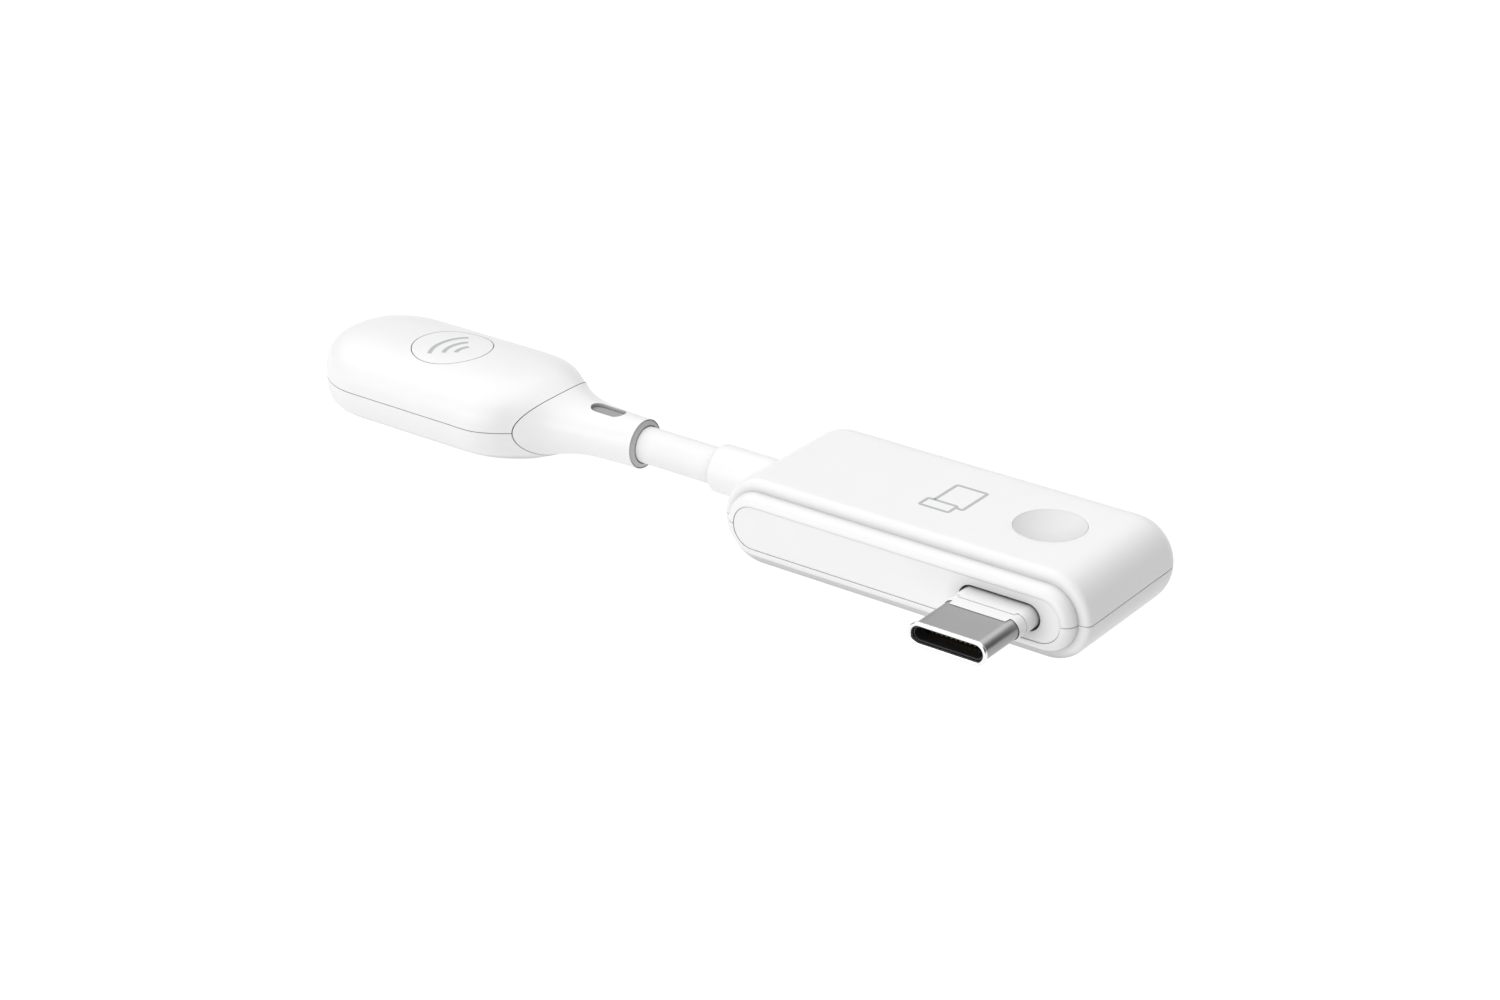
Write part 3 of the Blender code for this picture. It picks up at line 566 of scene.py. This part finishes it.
def build_front_panel():
    radius = PANEL_RADIUS - PANEL_GAP
    edge = 0.06 * MM
    front_y = FRONT_Y + PANEL_RECESS
    profile = [(PANEL_BACK_Y, radius)]
    for c, s in quarter(6):
        profile.append((front_y + edge * (1 - s), radius - edge * (1 - c)))
    rings = [stadium(y, BOX_HALF_STRAIGHT, r, (0.0, MID_Z), 32, 28) for y, r in profile]
    panel = skin("front_face", rings)
    slot = [plug_ring(PANEL_BACK_Y + OVERSHOOT, COLLAR_HALF, -SLOT_GAP)]
    slot_edge = 0.04 * MM
    for c, s in quarter(4):
        slot.append(plug_ring(front_y + slot_edge * (1 - s), COLLAR_HALF,
                              -SLOT_GAP - slot_edge * (1 - c)))
    slot.append(plug_ring(front_y - OVERSHOOT, COLLAR_HALF, -SLOT_GAP - slot_edge))
    shape(panel, ("DIFFERENCE", skin("collar_slot", slot)))
    dress(panel, "white_plastic", "main_box", ["front_panel"])


def collar_ring(y, shrink, notch=0.0):
    """One section of the collar. Its two round ends lie notch further back than its flats."""
    steps = 40
    ring = plug_ring(y, COLLAR_HALF, shrink, steps)
    for index, point in enumerate(ring):
        if index % (steps + 1) not in (0, steps):
            point.y += notch
    return ring


def build_collar():
    """White sleeve round the plug, with a fine groove at its step and a flange behind the panel."""
    step_y = FRONT_Y - 2.05 * MM
    groove = 0.04 * MM
    groove_width = 0.11 * MM
    edge = 0.05 * MM
    step = 0.045 * MM
    bore = 0.09 * MM
    flange_back_y = COLLAR_HIGH.y
    flange_front_y = flange_back_y - 0.8 * MM
    flange = -0.7 * MM
    step_notch = COLLAR_NOTCH / 2
    profile = [(flange_back_y, flange, 0.0), (flange_front_y, flange, 0.0),
               (flange_front_y, 0.0, 0.0)]
    profile += [(step_y + edge * (1 - s), edge * (1 - c), step_notch) for c, s in quarter(5)]
    profile += [(step_y, step + groove, step_notch),
                (step_y - groove_width, step + groove, step_notch),
                (step_y - groove_width, step, step_notch)]
    front_y = COLLAR_LOW.y
    front_edge = bore - step - 0.005 * MM
    profile += [(front_y + edge * (1 - s), step + front_edge * (1 - c), COLLAR_NOTCH)
                for c, s in quarter(5)]
    profile += [(front_y, bore, COLLAR_NOTCH), (flange_back_y, bore, 0.0)]
    collar = skin("plug_sleeve", [collar_ring(*place) for place in profile], closed=True)
    dress(collar, "white_plastic", "main_box", ["plug_collar"])


def build_plug():
    tip_y = SHELL_LOW.y
    neck_y = tip_y + RIM_DEPTH
    bore_inset = RIM_WIDTH - 0.01 * MM
    rings = [plug_ring(y, RIM_HALF, shrink) for y, shrink in (
        (SHELL_HIGH.y, RIM_STEP), (neck_y, RIM_STEP), (neck_y, bore_inset),
        (SHELL_HIGH.y, bore_inset))]
    shell = skin("plug_metal_shell", rings, closed=True)
    dress(shell, "plug_metal", "main_box", ["plug_shell"])

    bend = 0.06 * MM
    rings = [plug_ring(neck_y + bend * (1 - s), RIM_HALF, RIM_STEP - bend * (1 - c))
             for c, s in quarter(5)]
    rings += [plug_ring(neck_y - bend * (1 - c), RIM_HALF, (RIM_STEP - bend) * (1 - s))
              for c, s in quarter(5)]
    lip = 0.15 * MM
    for c, s in quarter(12, 0.0, 180.0):
        rings.append(plug_ring(tip_y + lip * (1 - s), RIM_HALF, RIM_WIDTH / 2 * (1 - c)))
    rings.append(plug_ring(neck_y + bend, RIM_HALF, RIM_WIDTH))
    rim_piece = skin("plug_metal_rim", rings, closed=True)
    # The lip takes the brighter nickel, a painted highlight
    dress(rim_piece, "plug_metal", "main_box", ["plug_shell"], finish="rim")

    insert_half = ((INSERT_HIGH.x - INSERT_LOW.x) / 2, (INSERT_HIGH.z - INSERT_LOW.z) / 2)
    insert_wall = 0.15 * MM
    rim = 0.04 * MM
    rings = [plug_ring(INSERT_HIGH.y, insert_half)]
    rings += [plug_ring(INSERT_LOW.y + rim * (1 - s), insert_half, rim * (1 - c))
              for c, s in quarter(4)]
    rings += [plug_ring(INSERT_LOW.y, insert_half, insert_wall),
              plug_ring(FRONT_Y, insert_half, insert_wall)]
    insert = skin("plug_tongue_seat", rings)
    dress(insert, "black_plastic", "main_box", ["plug_insert"])


def build_button():
    """Dished cap. Its flange and boss under the shell are as in the CAD."""
    boss = 0.9 * MM
    flange = (CAP_HIGH.x - CAP_LOW.x) / 2
    skirt_z, flange_z = CAP_LOW.z + 0.4 * MM, CAP_LOW.z + 0.75 * MM
    profile = [(CAP_LOW.z, boss), (skirt_z, boss), (skirt_z, flange), (flange_z, flange),
               (flange_z, BUTTON_RADIUS)]
    profile += [(THICKNESS - BUTTON_EDGE * (1 - s), BUTTON_RADIUS - BUTTON_EDGE * (1 - c))
                for c, s in quarter(5)]
    rim = BUTTON_RADIUS - BUTTON_EDGE
    dish_steps = 24
    for step in range(1, dish_steps):
        share = 1 - step / dish_steps
        profile.append((THICKNESS - BUTTON_DISH * (1 - share ** 2), rim * share))
    cap = spun("button_face", profile, BUTTON_CENTRE, "Z", 128)
    # The cap takes the darker white, painted shade for the dish
    dress(cap, "white_plastic", "button", ["button_cap"], finish="button")


# ---------------------------------------------------------------- printed outlines

def ribbon(name, centreline, width, body, closed=True, rise=0.012 * MM, lift=None):
    """Thin printed line. centreline holds (x, y) points, lift gives the surface height."""
    count = len(centreline)
    rings = []
    for index, point in enumerate(centreline):
        if closed:
            before, after = centreline[index - 1], centreline[(index + 1) % count]
        else:
            before, after = centreline[max(index - 1, 0)], centreline[min(index + 1, count - 1)]
        run = Vector((after[0] - before[0], after[1] - before[1]))
        across = Vector((-run.y, run.x)).normalized() * (width / 2)
        low, high = [], []
        for share in (-1.0, -0.33, 0.33, 1.0):
            x, y = point[0] + across.x * share, point[1] + across.y * share
            z = lift(x, y) if lift else THICKNESS
            low.append(Vector((x, y, z - rise)))
            high.append(Vector((x, y, z + rise)))
        rings.append(low + high[::-1])
    return dress(skin(name, rings, closed), "white_plastic", body, finish="print")


def rounded_line(corners, radius, closed=True, steps=6):
    """Centreline through the corners, each turned with the same radius."""
    count = len(corners)
    points = []
    for index, corner in enumerate(corners):
        here = Vector(corner)
        if not closed and index in (0, count - 1):
            points.append(here)
            continue
        towards = (Vector(corners[index - 1]) - here).normalized()
        away = (Vector(corners[(index + 1) % count]) - here).normalized()
        half_turn = towards.angle(away) / 2
        centre = here + (towards + away).normalized() * (radius / math.sin(half_turn))
        first = here + towards * (radius / math.tan(half_turn)) - centre
        last = here + away * (radius / math.tan(half_turn)) - centre
        turn = first.angle_signed(last)
        for step in range(steps + 1):
            angle = -turn * step / steps
            c, s = math.cos(angle), math.sin(angle)
            points.append(centre + Vector((first.x * c - first.y * s, first.x * s + first.y * c)))
    return [(point.x, point.y) for point in points]


# Printed picture of a laptop with a phone in front of it, and its outline's corners in mm
STROKE = 0.32 * MM
SCREEN_CORNERS = ((-0.55, -1.42), (-0.55, 2.45), (2.82, 2.45), (2.82, -1.9), (2.18, -1.77))
HANDSET_CORNERS = ((-1.2, -3.02), (2.0, -3.02), (2.0, -1.45), (-1.2, -1.45))
CORNER_RADIUS = 0.18 * MM


def build_prints():
    for name, corners, closed in (("print_screen", SCREEN_CORNERS, False),
                                  ("print_handset", HANDSET_CORNERS, True)):
        line = rounded_line([(x * MM, y * MM) for x, y in corners], CORNER_RADIUS, closed)
        ribbon(name, line, STROKE, "main_box", closed)


# ---------------------------------------------------------------- cable

CABLE_LOW, CABLE_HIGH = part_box("cable_jacket")
CABLE_RADIUS = (CABLE_HIGH.z - CABLE_LOW.z) / 2
BRAID_LOW, BRAID_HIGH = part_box("cable_braid")
WIRE_LOW, WIRE_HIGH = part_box("cable_conductors")
SLEEVE_END_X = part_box("pod_neck")[1].x
# The two halves of each cable layer meet here. Each bends from just outside the part that holds it
# to just short of the meeting place, so the middle of the free cable stays straight.
MEETING_X = (BOOT_LOW.x + SLEEVE_END_X) / 2
JACKET_BORE = 1.45 * MM
BRAID_RADII = (1.3 * MM, 1.18 * MM)
BUNDLE_LOBES = 6
LOBE_DEPTH = 0.11
RING_SPACING = 0.3 * MM


def tube_rings(low_x, high_x, radii, sides=56, lobes=0):
    """Closed tube along X. radii is (outer, inner); an inner radius of None makes it solid."""
    count = max(2, round((high_x - low_x) / RING_SPACING))
    xs = [low_x + (high_x - low_x) * step / count for step in range(count + 1)]

    def ring(x, radius):
        points = []
        for index in range(sides):
            angle = math.tau * index / sides
            here = radius * (1 - (LOBE_DEPTH * (1 - math.cos(lobes * angle)) if lobes else 0.0))
            points.append(Vector((x, here * math.cos(angle), MID_Z + here * math.sin(angle))))
        return points

    rings = [ring(x, radii[0]) for x in xs]
    if radii[1] is not None:
        rings += [ring(x, radii[1]) for x in reversed(xs)]
    return rings


def build_cable():
    wire_radius = (WIRE_HIGH.y - WIRE_LOW.y) / 2
    layers = (
        ("cable_skin", "cable_jacket", "cable_jacket", (CABLE_RADIUS, JACKET_BORE),
         CABLE_LOW.x, CABLE_HIGH.x, 0),
        ("cable_screen", "cable_braid", "tin_plate", BRAID_RADII, BRAID_LOW.x, BRAID_HIGH.x, 0),
        ("cable_wires", "cable_conductors", "copper", (wire_radius, None),
         WIRE_LOW.x, WIRE_HIGH.x, BUNDLE_LOBES),
    )
    for name, node, slot, radii, low_x, high_x, lobes in layers:
        closed = radii[1] is not None
        near = skin(f"{name}_near", tube_rings(MEETING_X, high_x, radii, lobes=lobes), closed)
        dress(near, slot, replaced=[node])
        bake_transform(near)
        far = skin(f"{name}_far", tube_rings(low_x, MEETING_X, radii, lobes=lobes), closed)
        dress(far, slot, replaced=[node])
        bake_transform(far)

    lip = 0.45 * MM
    bore = CABLE_RADIUS + 0.06 * MM
    profile = [(BOOT_HIGH.x, bore), (BOOT_LOW.x + 0.1 * MM, bore), (BOOT_LOW.x, bore + 0.1 * MM)]
    profile += [(BOOT_LOW.x + lip * (1 - c), BOOT_RADIUS - lip * (1 - s)) for c, s in quarter(8)]
    profile.append((BOOT_HIGH.x, BOOT_RADIUS))
    boot = spun("strain_boot", profile, CABLE_AXIS, "X", 72, closed=True)
    dress(boot, "white_plastic", "main_box", ["cable_boot"])


# ---------------------------------------------------------------- pod

POD_LOW, POD_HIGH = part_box("pod_top_shell")
POD_END_X = POD_LOW.x
POD_CAP_X = POD_END_X + 7.8 * MM
POD_HALF_WIDTH = POD_HIGH.y
POD_CAP_POWER = 3.3
POD_SECTION_POWER = 2.67
POD_LOWER_POWER = 2.85
SLEEVE_RADIUS = 2.58 * MM
CAVITY_END_X = -47.2 * MM
NECK_STATIONS = (
    (-55.0 * MM, POD_HALF_WIDTH, MID_Z),
    (-52.0 * MM, 7.95 * MM, 4.34 * MM),
    (-50.0 * MM, 7.2 * MM, 4.3 * MM),
    (-48.0 * MM, 5.85 * MM, 4.08 * MM),
    (-45.0 * MM, 4.05 * MM, 3.1 * MM),
    (-42.0 * MM, 3.2 * MM, 2.6 * MM),
    (-39.0 * MM, 2.8 * MM, 2.58 * MM),
    (SLEEVE_END_X, SLEEVE_RADIUS, SLEEVE_RADIUS),
)
CHEVRON_APEX_X = -48.15 * MM
CHEVRON_REACH = 4.0 * MM
CHEVRON_POWER = 1.85
SEAM_HALF_GAP = 0.05 * MM
EQUATOR_HALF_GAP = 0.035 * MM
NECK_SLOT_X = (-42.45 * MM, -38.4 * MM)
NECK_SLOT_WIDTH = 1.9 * MM
NECK_INSET = 0.02 * MM
SLEEVE_BORE_RADIUS = 2.3 * MM
FLANGE_SEAT_X = SLEEVE_END_X - 0.36 * MM
FLANGE_CLEARANCE = 0.03 * MM
# The liner: the tube's outer and inner radii, and the flange's back and outer radius
LINER_RADII = (2.29 * MM, 1.95 * MM)
FLANGE_X = SLEEVE_END_X - 0.3 * MM
FLANGE_RADIUS = 2.46 * MM
LINER_LOW, LINER_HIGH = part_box("cable_liner")
DISC_LOW, DISC_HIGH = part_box("signal_disc")
DISC_X = (DISC_LOW.x + DISC_HIGH.x) / 2
DISC_RADIUS = (DISC_HIGH.x - DISC_LOW.x) / 2
DISC_GAP = 0.09 * MM
DISC_SEAT = 0.3 * MM
# Beyond every part of the object
FAR = 0.2
# The three printed arcs on the disc: (radius, first and last angle in degrees) round one centre
WAVE_CENTRE = (-57.85 * MM, -0.27 * MM)
WAVES = ((1.95 * MM, -24.0, 33.0), (3.2 * MM, -29.0, 38.0), (4.62 * MM, -32.0, 42.0))
WAVE_STROKE = 0.45 * MM


def along_neck(x, column):
    """Cubic Hermite value through NECK_STATIONS, with slopes from the neighbours."""
    table = NECK_STATIONS
    last = len(table) - 1
    index = max(i for i in range(last) if table[i][0] <= x + 1e-9)

    def slope(i):
        if i in (0, last):
            return 0.0
        return (table[i + 1][column] - table[i - 1][column]) / (table[i + 1][0] - table[i - 1][0])

    span = table[index + 1][0] - table[index][0]
    t = (x - table[index][0]) / span
    return ((2 * t ** 3 - 3 * t ** 2 + 1) * table[index][column]
            + (t ** 3 - 2 * t ** 2 + t) * span * slope(index)
            + (3 * t ** 2 - 2 * t ** 3) * table[index + 1][column]
            + (t ** 3 - t ** 2) * span * slope(index + 1))


def pod_size(x):
    """Half width, half height and section power of the pod's outside at x."""
    if x < POD_CAP_X:
        share = (POD_CAP_X - x) / (POD_CAP_X - POD_END_X)
        width = POD_HALF_WIDTH * math.sqrt(1 - share ** 2)
        height = MID_Z * (1 - share ** POD_CAP_POWER) ** (1 / POD_CAP_POWER)
        return width, height, POD_SECTION_POWER
    body_end_x = NECK_STATIONS[0][0]
    if x <= body_end_x:
        return POD_HALF_WIDTH, MID_Z, POD_SECTION_POWER
    roundness = min(1.0, (x - body_end_x) / (NECK_SLOT_X[1] - body_end_x))
    power = POD_SECTION_POWER + (2.0 - POD_SECTION_POWER) * roundness
    return along_neck(x, 1), along_neck(x, 2), power


def pod_ring(x, inset=0.0, sides=112):
    width, height, power = pod_size(x)
    points = []
    for index in range(sides):
        angle = math.tau * (index + 0.5) / sides
        c, s = math.cos(angle), math.sin(angle)
        here = power if s > 0 else power + (POD_LOWER_POWER - POD_SECTION_POWER) * (
            (power - 2.0) / (POD_SECTION_POWER - 2.0))
        y = (width - inset) * math.copysign(abs(c) ** (2 / here), c)
        z = (height - inset) * math.copysign(abs(s) ** (2 / here), s)
        points.append(Vector((x, y, MID_Z + z)))
    return points


def pod_top_height(x, y):
    """Height of the pod's outside over (x, y)."""
    width, height, power = pod_size(x)
    return MID_Z + height * (1 - abs(y / width) ** power) ** (1 / power)


def pod_places(inset=0.0, end_x=SLEEVE_END_X):
    """Places along X for the pod's sections, close together on the round end."""
    reach = POD_CAP_X - POD_END_X
    cap_steps = 30
    shorts = [5e-6, 5e-5, 3e-4] if not inset else []
    shares = [1 - short for short in shorts]
    shares += [math.sin(math.pi / 2 * (1 - step / cap_steps)) for step in range(1, cap_steps)]
    limit = 1 - inset / reach
    places = [POD_CAP_X - reach * share for share in shares if share < limit]
    body_steps, neck_steps = 14, 64
    body_end_x = NECK_STATIONS[0][0]
    places += [POD_CAP_X + (body_end_x - POD_CAP_X) * step / body_steps
               for step in range(body_steps)]
    places += [body_end_x + (SLEEVE_END_X - body_end_x) * step / neck_steps
               for step in range(neck_steps + 1)]
    return [x for x in places if x < end_x - 1e-9] + [end_x]


def pod_form(name, inset=0.0, end_x=SLEEVE_END_X, sides=112):
    return skin(name, [pod_ring(x, inset, sides) for x in pod_places(inset, end_x)])


def sleeve_form(name, inset):
    """The pod's outline a little smaller, with a rounded rim at the cable's end."""
    rim = 0.03 * MM
    rings = [pod_ring(x, inset) for x in pod_places(inset, SLEEVE_END_X - rim)]
    for c, s in quarter(6)[1:]:
        rings.append(pod_ring(SLEEVE_END_X - rim * (1 - s), inset + rim * (1 - c)))
    return skin(name, rings)


def right_of_seam(name, offset):
    """Prism right of the rounded '<' seam between the pod's shells and its neck."""
    steps = 40
    reach = MID_Z + 1.5 * MM
    half_depth = POD_HALF_WIDTH + 2 * MM
    edge = []
    for step in range(steps + 1):
        rise = reach * (2 * step / steps - 1)
        x = CHEVRON_APEX_X + offset + CHEVRON_REACH * (abs(rise) / MID_Z) ** CHEVRON_POWER
        edge.append((x, MID_Z + rise))
    far_x = SLEEVE_END_X + 3 * MM
    outline = edge + [(far_x, MID_Z + reach), (far_x, MID_Z - reach)]
    return skin(name, [[Vector((x, y, z)) for x, z in outline] for y in (-half_depth, half_depth)])


def slab(name, low_z, high_z):
    corners = ((-FAR, -FAR), (FAR, -FAR), (FAR, FAR), (-FAR, FAR))
    return skin(name, [[Vector((x, y, z)) for x, y in corners] for z in (low_z, high_z)])


def cavity(name):
    return pod_form(name, WALL, CAVITY_END_X, 48)


def build_pod():
    recess_radius = DISC_RADIUS + DISC_GAP
    recess = spun("disc_recess", [(DISC_LOW.z - DISC_SEAT, recess_radius),
                                  (THICKNESS + OVERSHOOT, recess_radius)], (DISC_X, 0.0), "Z")
    top = pod_form("pod_top")
    shape(top, ("DIFFERENCE", cavity("room")),
          ("DIFFERENCE", right_of_seam("limit", -SEAM_HALF_GAP)),
          ("DIFFERENCE", slab("below", -FAR, MID_Z + EQUATOR_HALF_GAP)), ("DIFFERENCE", recess))
    dress(top, "white_plastic", "antenna_pod", ["pod_top_shell"])

    bottom = pod_form("pod_bottom")
    shape(bottom, ("DIFFERENCE", cavity("room")),
          ("DIFFERENCE", right_of_seam("limit", -SEAM_HALF_GAP)),
          ("DIFFERENCE", slab("above", MID_Z - EQUATOR_HALF_GAP, FAR)))
    dress(bottom, "white_plastic", "antenna_pod", ["pod_bottom_shell"])

    build_neck()

    disc = pod_form("disc_face")
    column = spun("disc_column", [(DISC_LOW.z, DISC_RADIUS), (THICKNESS + OVERSHOOT, DISC_RADIUS)],
                  (DISC_X, 0.0), "Z", 128)
    shape(disc, ("INTERSECT", column))
    dress(disc, "white_plastic", "antenna_pod", ["signal_disc"])

    for index, (radius, first, last) in enumerate(WAVES):
        line = [(WAVE_CENTRE[0] - radius * c, WAVE_CENTRE[1] + radius * s)
                for c, s in quarter(32, first, last)]
        ribbon(f"print_wave_{index + 1}", line, WAVE_STROKE, "antenna_pod", closed=False,
               lift=pod_top_height)


def build_neck():
    """The pod's tail with its slot, and the grey liner that shows in the slot and at the end."""
    neck = sleeve_form("pod_tail", NECK_INSET)
    seat_radius = FLANGE_RADIUS + FLANGE_CLEARANCE
    bore = spun("bore", [(CAVITY_END_X - 2 * OVERSHOOT, SLEEVE_BORE_RADIUS),
                         (FLANGE_SEAT_X, SLEEVE_BORE_RADIUS), (FLANGE_SEAT_X, seat_radius),
                         (SLEEVE_END_X + OVERSHOOT, seat_radius)], CABLE_AXIS, "X", 72)
    slot_radius = NECK_SLOT_WIDTH / 2
    slot_half = (NECK_SLOT_X[1] - NECK_SLOT_X[0]) / 2 - slot_radius
    slot_x = (NECK_SLOT_X[0] + NECK_SLOT_X[1]) / 2
    outline = [(p.x, p.z) for p in stadium(0.0, slot_half, slot_radius, (slot_x, 0.0), 20)]
    slot = skin("neck_slot", [[Vector((x, y, z)) for x, y in outline]
                              for z in (MID_Z + CABLE_RADIUS / 2, THICKNESS)])
    shape(neck, ("INTERSECT", right_of_seam("side", SEAM_HALF_GAP)), ("DIFFERENCE", cavity("room")),
          ("DIFFERENCE", bore), ("DIFFERENCE", slot))
    dress(neck, "white_plastic", "antenna_pod", ["pod_neck"])

    tube_radius, inner_radius = LINER_RADII
    tube = spun("sleeve_liner_tube", [
        (LINER_LOW.x, tube_radius), (LINER_LOW.x, inner_radius), (FLANGE_X, inner_radius),
        (FLANGE_X, tube_radius)], CABLE_AXIS, "X", closed=True)
    dress(tube, "grey_elastomer", "antenna_pod", ["cable_liner"], finish="liner")
    ring = spun("sleeve_liner_ring", [
        (FLANGE_X, inner_radius), (LINER_HIGH.x - 0.08 * MM, inner_radius - 0.02 * MM),
        (LINER_HIGH.x, inner_radius),
        (LINER_HIGH.x + 0.01 * MM, inner_radius + 0.04 * MM),
        (SLEEVE_END_X - 0.02 * MM, FLANGE_RADIUS - 0.03 * MM),
        (SLEEVE_END_X - 0.06 * MM, FLANGE_RADIUS), (FLANGE_X, FLANGE_RADIUS)],
        CABLE_AXIS, "X", closed=True)
    dress(ring, "grey_elastomer", "antenna_pod", ["cable_liner"])


build_box()
build_front_panel()
build_collar()
build_plug()
build_button()
build_prints()
build_cable()
build_pod()


# ---------------------------------------------------------------- carried-over CAD nodes

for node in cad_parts.values():
    if node.hide_render:
        continue
    for material_slot in node.material_slots:
        kind = material_slot.material.name.split(".")[0]
        material_slot.material = MATERIALS[kind]
